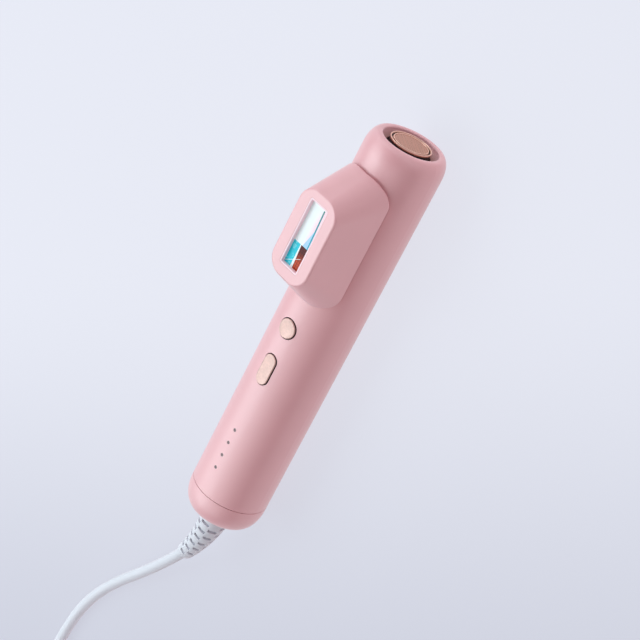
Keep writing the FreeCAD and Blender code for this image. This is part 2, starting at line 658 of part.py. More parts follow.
def make_lamp_reflector():
    """Trough of round section around the back of the flash lamp."""
    outer_r, wall, low, high = 5.7, 0.7, WINDOW_AT - 16.5, WINDOW_AT + 16.5
    trough = rod_y(outer_r, low, high, 0, LAMP_Z).cut(rod_y(outer_r - wall, low - 1, high + 1, 0, LAMP_Z))
    trough = trough.common(box(-outer_r - 1, outer_r + 1, low, high, 0, LAMP_Z))
    rim = FILTER_TOP - FILTER_THICK - FIT
    walls = [box(-outer_r, wall - outer_r, low, high, LAMP_Z, rim),
             box(outer_r - wall, outer_r, low, high, LAMP_Z, rim)]
    return fuse(trough, *walls)


def make_flash_lamp():
    low, high = WINDOW_AT - LAMP_HALF, WINDOW_AT + LAMP_HALF
    tube = rod_y(LAMP_R, low, high, 0, LAMP_Z)
    return tube.cut(rod_y(LAMP_R - LAMP_WALL, low + 2, high - 2, 0, LAMP_Z))


def make_lamp_electrodes():
    ends = []
    for side in (-1, 1):
        a0, a1 = sorted((WINDOW_AT + side * LAMP_HALF, WINDOW_AT + side * (LAMP_HALF + 4.5)))
        ends.append(rod_y(ELECTRODE_R, a0, a1, 0, LAMP_Z))
    return ends


def make_lamp_holders():
    half_w, half_l = 5.5, 1.5
    holders = []
    for side in (-1, 1):
        at = WINDOW_AT + side * HOLDER_OFFSET
        block = box(-half_w, half_w, at - half_l, at + half_l, BASE_FLOOR, HOLDER_TOP)
        holders.append(block.cut(rod_y(ELECTRODE_R, at - half_l - 1, at + half_l + 1, 0, LAMP_Z)))
    return holders


def make_cartridge_base():
    """Foot of the lamp head: a sleeve with a floor that drops into the socket tray."""
    half_w, half_l, corner = BASE
    block = rounded_block(half_w, half_l, corner, HEAD_AT, BASE_LOW, BASE_HIGH)
    pocket = rounded_block(half_w - BASE_WALL, half_l - BASE_WALL, corner - BASE_WALL, HEAD_AT,
                           BASE_FLOOR, BASE_HIGH + 1)
    tools = [pocket] + [rod_z(CONTACT_R, 0, at, 0, BASE_FLOOR + 1) for at in CONTACT_STATIONS]
    tools += [rod_z(MAGNET_R + FIT, x, at, 0, BASE_FLOOR + 1) for x, at in MAGNET_PLACES]
    return cut(block, *tools)


def make_contact_pins():
    collar_r, collar_top, reach = 1.4, BASE_FLOOR + 0.8, BASE_LOW - 1.2
    return [fuse(rod_z(CONTACT_R, 0, at, reach, BASE_FLOOR),
                 rod_z(collar_r, 0, at, BASE_FLOOR, collar_top)) for at in CONTACT_STATIONS]


def make_head_magnets():
    return [rod_z(MAGNET_R, x, at, BASE_LOW, BASE_LOW + MAGNET_THICK) for x, at in MAGNET_PLACES]


def make_holder_screws():
    """Heads of the four screws that hold the lamp's two end blocks down to the cartridge floor."""
    head_r, head_thick, screw_x = 1.0, 0.8, 4.2
    return [rod_z(head_r, x, WINDOW_AT + side * HOLDER_OFFSET, HOLDER_TOP, HOLDER_TOP + head_thick)
            for side in (-1, 1) for x in (-screw_x, screw_x)]


# ---------------------------------------------------------------- cord, coil and adapter
def arc_tube(route, radius):
    """Round tube along straight runs joined by tangent arcs; also the arcs' radii and its length."""
    points = [Vec(*place) for place in route]
    edges, radii = [], []
    start = points[0]
    for before, corner, after in zip(points[:-2], points[1:-1], points[2:]):
        inward, outward = corner - before, after - corner
        reach = 0.45 * min(inward.Length, outward.Length)
        half_turn = inward.getAngle(outward) / 2
        radii.append(reach / math.tan(half_turn))
        into, away = Vec(inward).normalize(), Vec(outward).normalize()
        first, last = corner - into * reach, corner + away * reach
        bisector = (away - into).normalize()
        middle = corner + bisector * (radii[-1] / math.cos(half_turn) - radii[-1])
        edges.append(Part.LineSegment(start, first).toShape())
        edges.append(Part.Arc(first, middle, last).toShape())
        start = last
    edges.append(Part.LineSegment(start, points[-1]).toShape())
    path = Part.Wire(edges)
    section = Part.Wire(Part.makeCircle(radius, points[0], points[1] - points[0]))
    tube = path.makePipeShell([section], True, False)
    return tube, radii, path.Length


def report_tube(name, route):
    tube, radii, length = arc_tube(route, CORD_R)
    ideal = math.pi * CORD_R ** 2 * length
    print(name, "length %.1f" % length, "volume ratio %.4f" % (tube.Volume / ideal),
          "radii", " ".join("%.0f" % radius for radius in radii))
    return tube


def make_strain_relief():
    """Tapered, bent sleeve on the cord, with a collar held in the cap's hole."""
    root = Vec(0, station(0), TUBE_R)
    rings = []
    steps = 6
    neck_r, neck_length, flange_r, flange_thick = 5.1, 3.0, 7.0, 1.4
    for index in range(steps + 1):
        share = index / steps
        bend = share ** 2
        centre = root + Vec(RELIEF_REACH.x * bend, RELIEF_REACH.y * share, RELIEF_REACH.z * bend)
        along = Vec(2 * RELIEF_REACH.x * share, RELIEF_REACH.y, 2 * RELIEF_REACH.z * share)
        radius = RELIEF_ROOT_R + (RELIEF_TIP_R - RELIEF_ROOT_R) * share
        rings.append(Part.Wire(Part.makeCircle(radius, centre, along)))
    sleeve = Part.makeLoft(rings, True, False)
    neck = Part.makeCylinder(neck_r, neck_length, root, Y_DIR)
    flange = Part.makeCylinder(flange_r, flange_thick, root + Vec(0, WALL + 0.5, 0), Y_DIR)
    return fuse(sleeve, neck, flange)


def make_coil():
    """Outer shape of the wound cord: a ring three turns wide and three layers high."""
    half_w = COIL_LAYERS * CORD_D / 2
    height = COIL_LAYERS * CORD_D
    centre = Vec(COIL_CENTRE[0], COIL_CENTRE[1], 0)
    outer = Part.makeCylinder(COIL_MEAN_R + half_w, height, centre)
    ring = outer.cut(Part.makeCylinder(COIL_MEAN_R - half_w, height, centre))
    rims = [edge for edge in ring.Edges if isinstance(edge.Curve, Part.Circle)]
    return ring.makeFillet(CORD_R - 0.3, rims)


def make_cord_tie():
    """Strap round one side of the coil."""
    wall, strap, room = 1.0, 8.0, 0.3
    half_w = COIL_LAYERS * CORD_D / 2 + 2 * room
    height = COIL_LAYERS * CORD_D + room
    x, y = COIL_CENTRE[0], COIL_CENTRE[1] - COIL_MEAN_R
    outer = Part.makeBox(strap, 2 * (half_w + wall), height + wall,
                         Vec(x - strap / 2, y - half_w - wall, 0))
    inner = Part.makeBox(strap + 2, 2 * half_w, height, Vec(x - strap / 2 - 1, y - half_w, 0))
    return outer.cut(inner)


def make_adapter_body():
    half_x, half_y, half_z = ADAPTER_HALF
    corner = ADAPTER_AT - Vec(half_x, half_y, half_z)
    body = Part.makeBox(2 * half_x, 2 * half_y, 2 * half_z, corner)
    return body.makeFillet(ADAPTER_ROUND, body.Edges)


def make_adapter_pins():
    pins = []
    front = ADAPTER_AT.y + ADAPTER_HALF[1]
    for side in (-1, 1):
        x = ADAPTER_AT.x + side * PIN_SPACING / 2
        corner = Vec(x - PIN_THICK / 2, front, ADAPTER_AT.z - PIN_WIDTH / 2)
        pin = Part.makeBox(PIN_THICK, PIN_LENGTH, PIN_WIDTH, corner)
        far = [edge for edge in pin.Edges if edge.BoundBox.YMin > front + PIN_LENGTH - 0.1]
        pins.append(pin.makeFillet(PIN_ROUND, far))
    return pins


def make_adapter_relief():
    back = ADAPTER_AT.y - ADAPTER_HALF[1]
    length = back - TAIL_ROUTE[-1][1]
    base = Vec(ADAPTER_AT.x, back, ADAPTER_AT.z)
    return Part.makeCone(*ADAPTER_RELIEF_R, length, base, Y_DIR * -1)


# ---------------------------------------------------------------- everything
save("main_tube", make_main_tube())
save("bottom_cap", make_bottom_cap())
save("vent_liner", make_vent_liner())
save("vent_ring", make_vent_ring())
save("vent_disc", make_vent_disc())

save("chassis_front", make_chassis(1))
save("chassis_back", make_chassis(-1))
save("chassis_screws", *make_chassis_screws())
save("flash_capacitor", make_capacitor())
save("capacitor_clip", make_capacitor_clip())
save("main_board", box(-BOARD[0], BOARD[0], *BOARD[1:]))
save("board_components", *make_board_components())
save("trigger_transformer", make_trigger_transformer())
save("power_transistor", make_power_switch_block())
save("button_board", make_small_board(6.2, OVAL_AT - 8, ROUND_AT + 5, SWITCH_BOARD_Z))
save("tact_switches", *make_tact_switches())
save("led_board", make_small_board(5.0, LED_FIRST - 3.8, 55.0, LED_BOARD_Z))
save("status_leds", *make_leds())
save("light_guide", make_light_guide())
save("terminal_block", make_terminal_block())
save("lead_wires", *make_lead_wires())
save("cord_clamp", make_cord_clamp())

save("socket_tray", make_socket_tray())
save("socket_contacts", *make_socket_contacts())
save("latch_magnets", *make_latch_magnets())
save("heat_sink", make_heat_sink())
save("fan_housing", make_fan_housing())
save("fan_stator", make_fan_stator())
save("fan_impeller", make_impeller())
save("fan_rotor_magnet", make_rotor_magnet())
save("fan_shaft", make_fan_shaft())

save("power_button_cap", make_power_button_cap())
save("power_button_stem", make_power_button_stem())
save("mode_button_cap", make_mode_button_cap())
save("mode_button_stem", make_mode_button_stem())

save("head_shell", make_head_shell())
save("window_frame", make_window_frame())
save("front_glass", window_plate(0.0, DUCT_TOP, GLASS_TOP))
save("light_duct", make_light_duct())
save("filter_glass", window_plate(0.6, FILTER_TOP - FILTER_THICK, FILTER_TOP))
save("lamp_reflector", make_lamp_reflector())
save("flash_lamp", make_flash_lamp())
save("lamp_electrodes", *make_lamp_electrodes())
save("lamp_holders", *make_lamp_holders())
save("cartridge_base", make_cartridge_base())
save("contact_pins", *make_contact_pins())
save("head_magnets", *make_head_magnets())
save("holder_screws", *make_holder_screws())

save_in_place("strain_relief", make_strain_relief())
save_in_place("cord_lead", report_tube("cord_lead", LEAD_ROUTE))
save_in_place("cord_coil", make_coil())
save_in_place("cord_tail", report_tube("cord_tail", TAIL_ROUTE))
save_in_place("cord_tie", make_cord_tie())
save_in_place("adapter_body", make_adapter_body())
save_in_place("adapter_pins", *make_adapter_pins())
save_in_place("adapter_relief", make_adapter_relief())
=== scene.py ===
"""IPL hair remover on a pale studio floor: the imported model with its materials, cord and details.

Everything is in metres, in the model's own frame: +Y runs along the handle tube to its top end,
+Z is the way the light leaves the lamp head, and the tube lies on the floor at z = 0.
"""
import math

import bmesh
import bpy
from mathutils import Matrix, Vector


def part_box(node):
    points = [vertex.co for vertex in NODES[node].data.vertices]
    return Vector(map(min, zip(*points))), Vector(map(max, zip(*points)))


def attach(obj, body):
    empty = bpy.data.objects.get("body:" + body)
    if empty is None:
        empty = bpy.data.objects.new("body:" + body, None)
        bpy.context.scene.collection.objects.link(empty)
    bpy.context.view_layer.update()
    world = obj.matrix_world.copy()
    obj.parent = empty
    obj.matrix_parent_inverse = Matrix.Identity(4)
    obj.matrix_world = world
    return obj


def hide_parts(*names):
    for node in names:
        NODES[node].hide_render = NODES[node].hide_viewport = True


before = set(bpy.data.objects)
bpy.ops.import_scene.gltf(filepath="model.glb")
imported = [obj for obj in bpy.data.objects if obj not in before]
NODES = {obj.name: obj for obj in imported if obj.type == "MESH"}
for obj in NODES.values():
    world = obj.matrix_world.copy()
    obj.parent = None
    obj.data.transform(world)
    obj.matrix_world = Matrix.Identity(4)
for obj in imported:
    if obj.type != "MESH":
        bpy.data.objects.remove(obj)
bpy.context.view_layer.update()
MM = 0.001

TUBE_LOW, TUBE_HIGH = (Vector(corner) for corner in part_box("main_tube"))
CAP_LOW = Vector(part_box("bottom_cap")[0])
GLASS_LOW, GLASS_HIGH = (Vector(corner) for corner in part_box("front_glass"))
RING_HIGH, DISC_HIGH = (Vector(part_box(node)[1]) for node in ("vent_ring", "vent_disc"))
AXIS_Z = (TUBE_LOW.z + TUBE_HIGH.z) / 2
BRUSH_ANGLE = 34.0       # slant of the lines on the vent's disc, in degrees


# ---------------------------------------------------------------- node materials
class Maker:
    """A node material with a Principled surface, built a node at a time."""

    def __init__(self, name, colour, roughness, **sockets):
        self.material = bpy.data.materials.new(name)
        self.material.use_nodes = True
        self.tree = self.material.node_tree
        self.surface = self.tree.nodes["Principled BSDF"]
        self.material.diffuse_color = (*colour, 1.0)
        self.surface.inputs["Base Color"].default_value = (*colour, 1.0)
        self.surface.inputs["Roughness"].default_value = roughness
        for socket, value in sockets.items():
            self.surface.inputs[socket.replace("_", " ")].default_value = value
        self.place = self.node("ShaderNodeTexCoord").outputs["Object"]

    def node(self, kind, **settings):
        made = self.tree.nodes.new(kind)
        for key, value in settings.items():
            setattr(made, key, value)
        return made

    def link(self, source, target):
        self.tree.links.new(source, target)

    def math(self, operation, first, second=None, third=None):
        made = self.node("ShaderNodeMath", operation=operation)
        for socket, value in zip(made.inputs, (first, second, third)):
            self.feed(value, socket)
        return made.outputs[0]

    def feed(self, value, socket):
        """Set a socket to a number or a tuple, or link it to another node's output."""
        if isinstance(value, (int, float, tuple)):
            socket.default_value = value
        elif value is not None:
            self.link(value, socket)

    def split(self):
        """The X, Y and Z of the place in the object's own frame, which is the model's."""
        made = self.node("ShaderNodeSeparateXYZ")
        self.link(self.place, made.inputs[0])
        return made.outputs

    def noise(self, scale, detail=2.0, stretch=None, roughness=0.5):
        made = self.node("ShaderNodeTexNoise")
        made.inputs["Scale"].default_value = scale
        made.inputs["Detail"].default_value = detail
        made.inputs["Roughness"].default_value = roughness
        place = self.place
        if stretch:
            mapping = self.node("ShaderNodeMapping")
            mapping.inputs["Scale"].default_value = stretch
            self.link(self.place, mapping.inputs["Vector"])
            place = mapping.outputs[0]
        self.link(place, made.inputs["Vector"])
        return made.outputs["Fac"]

    def ramp(self, factor, *stops):
        made = self.node("ShaderNodeValToRGB")
        elements = made.color_ramp.elements
        while len(elements) < len(stops):
            elements.new(0.5)
        for element, (place, colour) in zip(elements, stops):
            element.position = place
            element.color = (*colour, 1.0)
        self.link(factor, made.inputs[0])
        return made.outputs[0]

    def span(self, value, low, high, out_low=0.0, out_high=1.0):
        made = self.node("ShaderNodeMapRange")
        for index, number in enumerate((value, low, high, out_low, out_high)):
            self.feed(number, made.inputs[index])
        return made.outputs[0]

    def mix(self, factor, first, second):
        made = self.node("ShaderNodeMix", data_type="RGBA")
        self.feed(factor, made.inputs[0])
        for socket, value in ((made.inputs[6], first), (made.inputs[7], second)):
            self.feed((*value, 1.0) if isinstance(value, tuple) else value, socket)
        return made.outputs[2]

    def colour(self, source):
        self.link(source, self.surface.inputs["Base Color"])

    def rough(self, source):
        self.link(source, self.surface.inputs["Roughness"])

    def bump(self, height, distance, strength=1.0):
        made = self.node("ShaderNodeBump")
        made.inputs["Strength"].default_value = strength
        made.inputs["Distance"].default_value = distance
        self.link(height, made.inputs["Height"])
        self.link(made.outputs[0], self.surface.inputs["Normal"])


def srgb(red, green, blue):
    """A colour given as 0..255 screen values, in Blender's linear values."""
    return tuple(((value / 255 + 0.055) / 1.055) ** 2.4 for value in (red, green, blue))


def shade(colour, factor):
    return tuple(min(1.0, channel * factor) for channel in colour)


PINK = srgb(230, 170, 175)
ROSE_GOLD = srgb(196, 147, 128)
CHAMPAGNE = srgb(208, 172, 163)
# brown of the painted shade at the foot of the recess
RECESS_PAINTED_SHADE = srgb(150, 62, 42)
RECESS_R = 13.3 * MM
RECESS_SHADE_DEPTHS = (1.4 * MM, 3.6 * MM)   # depths between which the painted shade in the recess deepens to brown
WINDOW_SHIFT = (0.54, 0.46)          # middle of the filter's pattern from the window's, in mm


def pink_shell():
    """Satin soft-touch lacquer: an even pink with the faintest mottling and a fine grain, with painted
    shade that darkens it to brown towards the foot of the recess at the top end."""
    m = Maker("satin_pink_lacquer", PINK, 0.42, Specular_IOR_Level=0.9, Coat_Weight=0.5,
              Coat_Roughness=0.35, Sheen_Weight=0.3, Sheen_Roughness=0.45,
              Sheen_Tint=(0.85, 0.92, 1.0, 1.0))
    lacquer = m.ramp(m.noise(60.0, 3.0), (0.3, shade(PINK, 0.985)), (0.7, shade(PINK, 1.015)))
    x, y, z = m.split()
    rise = m.math("SUBTRACT", z, AXIS_Z)
    radius = m.math("SQRT", m.math("ADD", m.math("MULTIPLY", x, x), m.math("MULTIPLY", rise, rise)))
    inside = m.math("LESS_THAN", radius, RECESS_R)
    foot = m.span(y, TUBE_HIGH.y - RECESS_SHADE_DEPTHS[0], TUBE_HIGH.y - RECESS_SHADE_DEPTHS[1])
    near_top = m.math("GREATER_THAN", y, TUBE_HIGH.y - 2 * RECESS_SHADE_DEPTHS[1])
    # painted shade: brown mixed into the lacquer towards the foot of the recess
    painted_shade = m.math("MULTIPLY", m.math("MULTIPLY", inside, near_top), foot)
    m.colour(m.mix(painted_shade, lacquer, RECESS_PAINTED_SHADE))
    m.rough(m.span(m.noise(240.0, 2.0), 0.3, 0.7, 0.40, 0.45))
    m.bump(m.noise(5200.0, 1.0), 0.000004, 0.35)
    return m.material


def brushed_rose_gold():
    """Rose-gold metal with fine straight lines brushed slantwise across the end of the tube."""
    m = Maker("brushed_rose_gold", ROSE_GOLD, 0.3, Metallic=1.0)
    turn = m.node("ShaderNodeMapping")
    turn.inputs["Rotation"].default_value = (0, math.radians(BRUSH_ANGLE), 0)
    m.link(m.place, turn.inputs["Vector"])
    m.place = turn.outputs[0]
    lines = m.noise(1.0, 3.0, (60.0, 4200.0, 4200.0))
    m.colour(m.ramp(lines, (0.3, shade(ROSE_GOLD, 0.82)), (0.7, shade(ROSE_GOLD, 1.12))))
    m.rough(m.span(lines, 0.3, 0.7, 0.22, 0.4))
    m.bump(lines, 0.000012, 0.6)
    return m.material


def pearl_champagne():
    """Pearl lacquer of the two buttons."""
    m = Maker("champagne_pearl", CHAMPAGNE, 0.38, Metallic=0.3, Coat_Weight=0.05, Coat_Roughness=0.3)
    m.colour(m.ramp(m.noise(900.0, 3.0), (0.3, shade(CHAMPAGNE, 0.9)), (0.7, shade(CHAMPAGNE, 1.06))))
    m.bump(m.noise(2600.0, 2.0), 0.000006, 0.4)
    return m.material


def grained(name, colour, roughness, scale=1500.0, depth=0.00002, spread=0.12, **sockets):
    """Moulded plastic or rubber with a fine spark-eroded grain."""
    m = Maker(name, colour, roughness, **sockets)
    m.colour(m.ramp(m.noise(90.0, 3.0), (0.3, shade(colour, 1 - spread / 2)),
                    (0.7, shade(colour, 1 + spread / 2))))
    m.rough(m.span(m.noise(scale / 3, 2.0), 0.3, 0.7, roughness * 0.9, min(1.0, roughness * 1.1)))
    m.bump(m.noise(scale, 2.0), depth, 0.5)
    return m.material


def brushed(name, colour, roughness, stretch=(900.0, 40.0, 900.0), **sockets):
    """Metal with fine lines drawn along the direction of the smallest stretch."""
    m = Maker(name, colour, roughness, Metallic=1.0, **sockets)
    lines = m.noise(1.0, 3.0, stretch)
    m.colour(m.ramp(lines, (0.3, shade(colour, 0.85)), (0.7, shade(colour, 1.1))))
    m.rough(m.span(lines, 0.3, 0.7, roughness * 0.8, roughness * 1.25))
    m.bump(lines, 0.000008, 0.4)
    return m.material


def circuit_board():
    """Green solder mask with paler tracks showing through in patches."""
    green = srgb(24, 92, 52)
    m = Maker("circuit_board_green", green, 0.35, Coat_Weight=0.4, Coat_Roughness=0.2)
    tracks_per_metre, half_track = 420.0, 0.12
    grid = m.math("FRACT", m.math("MULTIPLY", m.split()["Y"], tracks_per_metre))
    tracks = m.math("LESS_THAN", m.math("ABSOLUTE", m.math("SUBTRACT", grid, 0.5)), half_track)
    patches = m.math("GREATER_THAN", m.noise(220.0, 1.0), 0.5)
    m.colour(m.mix(m.math("MULTIPLY", tracks, patches), green, srgb(52, 130, 78)))
    return m.material


def assign(material, *names):
    for name in names:
        for slot in NODES[name].material_slots:
            slot.material = material


def dress_nodes():
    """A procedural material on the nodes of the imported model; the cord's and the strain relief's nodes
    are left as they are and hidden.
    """
    assign(pink_shell(), "main_tube", "bottom_cap", "head_shell")
    assign(brushed_rose_gold(), "vent_disc", "vent_ring")
    assign(pearl_champagne(), "power_button_cap", "mode_button_cap")
    steel = brushed("satin_steel", srgb(200, 200, 205), 0.28)
    rim = srgb(238, 208, 216)
    # painted glow: the rim gives off a faint light of its own colour, which keeps its inner wall light
    assign(grained("glowing_window_rim", rim, 0.4, Coat_Weight=0.1, Emission_Color=(*rim, 1.0),
                   Emission_Strength=0.1), "window_frame")
    assign(steel, "adapter_pins", "contact_pins", "socket_contacts",
           "lamp_electrodes", "chassis_screws", "holder_screws", "fan_shaft")
    assign(brushed("magnet_nickel", srgb(205, 203, 200), 0.15), "latch_magnets", "head_magnets")
    mirror = brushed("mirror_aluminium", srgb(236, 238, 242), 0.08, stretch=(60.0, 60.0, 60.0))
    assign(mirror, "light_duct", "lamp_reflector")
    assign(brushed("heat_sink_aluminium", srgb(190, 192, 196), 0.38), "heat_sink")
    black = grained("black_moulding", srgb(26, 24, 26), 0.5)
    assign(black, "vent_liner", "chassis_front", "chassis_back", "socket_tray", "cartridge_base",
           "fan_housing", "fan_impeller", "capacitor_clip")
    # partly painted shade: the stems' near-black maroon is their own dark plastic and also stands for the
    # shade in the gap round each button cap
    assign(grained("dark_maroon_skirt", srgb(34, 10, 14), 0.6, Specular_IOR_Level=0.15),
           "power_button_stem", "mode_button_stem")
    assign(grained("white_moulding", srgb(224, 224, 228), 0.45), "terminal_block", "cord_clamp")
    assign(grained("smoked_light_guide", srgb(92, 62, 66), 0.2, Coat_Weight=0.5), "light_guide")
    assign(grained("led_epoxy", srgb(236, 226, 170), 0.15, Coat_Weight=0.8), "status_leds")
    assign(circuit_board(), "main_board", "button_board", "led_board")
    assign(grained("moulded_epoxy", srgb(34, 34, 38), 0.45), "board_components", "tact_switches",
           "power_transistor")
    assign(grained("capacitor_sleeve", srgb(38, 44, 74), 0.3, Coat_Weight=0.5), "flash_capacitor")
    assign(grained("copper_winding", srgb(176, 112, 52), 0.35, Metallic=0.6), "trigger_transformer",
           "fan_stator")
    assign(grained("ferrite", srgb(48, 47, 50), 0.55, Metallic=0.4), "fan_rotor_magnet")
    assign(grained("fired_ceramic", srgb(238, 236, 228), 0.4, Coat_Weight=0.3), "lamp_holders")
    assign(grained("red_insulation", srgb(170, 32, 30), 0.4), "lead_wires")
    assign(white_jacket(), "adapter_relief")
    assign(grained("adapter_shell", srgb(218, 218, 224), 0.42, spread=0.02), "adapter_body")
    assign(grained("tie_weave", srgb(214, 214, 220), 0.9, scale=2600.0, depth=0.00008), "cord_tie")
    assign(clear_quartz(), "flash_lamp")
    assign(grained("deep_filter", srgb(196, 222, 232), 0.08, Coat_Weight=0.5), "filter_glass")
    assign(window_filter(), "front_glass")


def clear_quartz():
    """Clear glass of the flash lamp."""
    m = Maker("clear_quartz", (0.95, 0.97, 1.0), 0.03, Transmission_Weight=0.9, IOR=1.46)
    m.rough(m.span(m.noise(120.0, 2.0), 0.3, 0.7, 0.02, 0.05))
    return m.material


# What shows in the window, in millimetres from the pattern's middle.  An edge that leans is given
# by its place across at the middle and by how far it moves for each millimetre along.
LINE_EDGES, LINE_LEAN, LINE_TOP = (2.2, 3.0), 0.046, 14.2      # the thin teal line
REFLECTED_WEDGE_EDGE, REFLECTED_WEDGE_LEAN, REFLECTED_WEDGE_TOP = 1.05, -0.26, 4.8           # the pale blue wedge beside it, a painted reflection
LOW_END = -5.2                                                 # top of the coloured lower end
CYAN_EDGE, CYAN_WOBBLE = -1.5, 0.9
CHAMBER_EDGES, CHAMBER_LEAN = (-1.35, 2.95), 0.075             # the dark red lamp chamber
CHAMBER_GLOW = (-8.0, -13.0)                                   # where it turns to orange
RIBS_ACROSS, RIBS_ALONG = (0.8, 0.36), (0.75, 0.38)            # ribs for each mm, and half a bay
GLINT_AT, GLINT_SLOPE, GLINT_HALF, GLINT_END = -12.1, 0.69, 0.16, 2.0


def window_filter():
    """Coated filter behind the window: silvery white, cyan low on one side, and beside it the dark
    red lamp chamber with its brighter orange foot.  The pattern is painted as it looks from one viewpoint:
    the pale blue wedge is a painted reflection and the glint a painted highlight."""
    white, pale_pink, pale_blue = srgb(226, 236, 238), srgb(236, 206, 216), srgb(160, 200, 226)
    cyan, light_cyan = srgb(40, 188, 206), srgb(120, 214, 224)
    maroon, orange, dark_rib_red = srgb(86, 20, 22), srgb(186, 66, 34), srgb(36, 8, 10)
    m = Maker("window_filter", white, 0.16, Specular_IOR_Level=0.15, Coat_Weight=0.04, Coat_Roughness=0.04)
    place = m.split()
    centre_y = (GLASS_LOW.y + GLASS_HIGH.y) / 2
    across = m.math("SUBTRACT", m.math("MULTIPLY", place["X"], 1 / MM), WINDOW_SHIFT[0])
    along = m.math("MULTIPLY", m.math("SUBTRACT", place["Y"], centre_y), 1 / MM)
    along = m.math("SUBTRACT", along, WINDOW_SHIFT[1])
    ripple = m.noise(420.0, 3.0)
    wobble = m.math("MULTIPLY", m.math("SUBTRACT", ripple, 0.5), CYAN_WOBBLE)

    def below(value, limit):
        return m.math("LESS_THAN", value, limit)

    def above(value, limit):
        return m.math("GREATER_THAN", value, limit)

    def both(first, second):
        return m.math("MULTIPLY", first, second)

    def leaning(lean):
        return m.math("ADD", across, both(along, lean))

    def ribs(value, per_mm, half_bay):
        bay = m.math("FRACT", both(value, per_mm))
        return above(m.math("ABSOLUTE", m.math("SUBTRACT", bay, 0.5)), half_bay)

    # Upper part: a faint pink blush, the blue wedge of painted reflection, the teal line and a pink margin
    # beyond it.
    blush = both(m.span(across, -1.2, 1.2), m.span(along, 16.0, 7.0))
    face = m.mix(both(blush, 0.85), white, pale_pink)
    # painted reflection: the pale blue wedge
    reflected_wedge = both(above(leaning(REFLECTED_WEDGE_LEAN), REFLECTED_WEDGE_EDGE), below(along, REFLECTED_WEDGE_TOP))
    face = m.mix(reflected_wedge, face, pale_blue)
    line_at = leaning(LINE_LEAN)
    line = both(above(line_at, LINE_EDGES[0]), below(line_at, LINE_EDGES[1]))
    teal = m.mix(m.span(along, LINE_TOP, LOW_END), srgb(60, 124, 120), srgb(48, 160, 188))
    face = m.mix(both(line, below(along, LINE_TOP)), face, teal)
    face = m.mix(above(line_at, LINE_EDGES[1]), face, pale_pink)

    # Lower end: streaked cyan, a ragged white gap, the ribbed chamber and a thin glint across both.
    streaks = m.mix(both(above(ripple, 0.56), 0.6), cyan, light_cyan)
    foot = m.mix(above(m.math("ADD", across, wobble), CYAN_EDGE), streaks, white)
    grid = m.math("MAXIMUM", ribs(across, *RIBS_ACROSS), both(ribs(along, *RIBS_ALONG), 0.7))
    chamber = m.mix(m.span(along, *CHAMBER_GLOW), maroon, orange)
    # the ribs of the chamber are darker
    chamber = m.mix(both(grid, 0.55), chamber, dark_rib_red)
    chamber_at = leaning(CHAMBER_LEAN)
    foot = m.mix(above(chamber_at, CHAMBER_EDGES[0]), foot, chamber)
    foot = m.mix(above(chamber_at, CHAMBER_EDGES[1]), foot, pale_pink)
    # painted highlight: the thin white glint
    slant = m.math("SUBTRACT", m.math("SUBTRACT", along, both(across, GLINT_SLOPE)), GLINT_AT)
    glint = both(below(m.math("ABSOLUTE", slant), GLINT_HALF), below(across, GLINT_END))
    foot = m.mix(both(glint, 0.7), foot, white)
    face = m.mix(below(along, LOW_END), face, foot)
    m.colour(face)
    # painted glow: the filter gives off a faint light in its pattern's colours
    m.link(face, m.surface.inputs["Emission Color"])
    m.surface.inputs["Emission Strength"].default_value = 0.15
    return m.material


# ---------------------------------------------------------------- cord
CORD_D = 5.6 * MM
LEAD_ROUTE = [
    (0.0, -105.0, 19.0), (-0.5, -112.0, 18.8), (-2.2, -120.5, 18.2), (-4.9, -128.5, 17.2),
    (-8.4, -136.1, 16.0), (-15.6, -147.9, 12.6), (-24.6, -161.5, 8.3), (-34.3, -175.4, 4.5),
    (-44.4, -189.6, 2.8), (-53.0, -204.8, 2.8), (-58.9, -222.0, 2.8), (-61.2, -241.0, 2.8),
    (-61.3, -261.0, 2.8), (-60.3, -281.0, 2.8),
]
TAIL_ROUTE = [(8.5, -294.5, 14.0), (9.6, -283.5, 14.0), (9.6, -275.0, 14.0)]
COIL_CENTRE = (-23.0, -311.0)
COIL_MEAN_R, TURN_POINTS, TURNS = 31.0, 16, 7.5
# Which of the three places side by side, and which layer, each turn lies in.
COIL_TRACKS = [(1, 0), (0, 0), (-1, 0), (-1, 1), (0, 1), (1, 1), (1, 2), (0, 2)]
RELIEF_REACH = Vector((-8.4, -32.85, -3.0)) * MM
RELIEF_ROOT = Vector((0.0, CAP_LOW.y, AXIS_Z))
RELIEF_ROOT_R, RELIEF_TIP_R = 7.5 * MM, 4.25 * MM


def white_jacket():
    return grained("white_cord_jacket", srgb(214, 214, 222), 0.48, scale=1200.0, depth=0.000003,
                   spread=0.02)


def relief_centre(share):
    """Centre line of the bent strain relief, from the cap (0) to its tip (1)."""
    reach = RELIEF_REACH
    return RELIEF_ROOT + Vector((reach.x * share ** 2, reach.y * share, reach.z * share ** 2))


def relief_along(share):
    reach = RELIEF_REACH
    return Vector((2 * reach.x * share, reach.y, 2 * reach.z * share)).normalized()


def ease(share):
    share = min(1.0, max(0.0, share))
    return share * share * (3 - 2 * share)


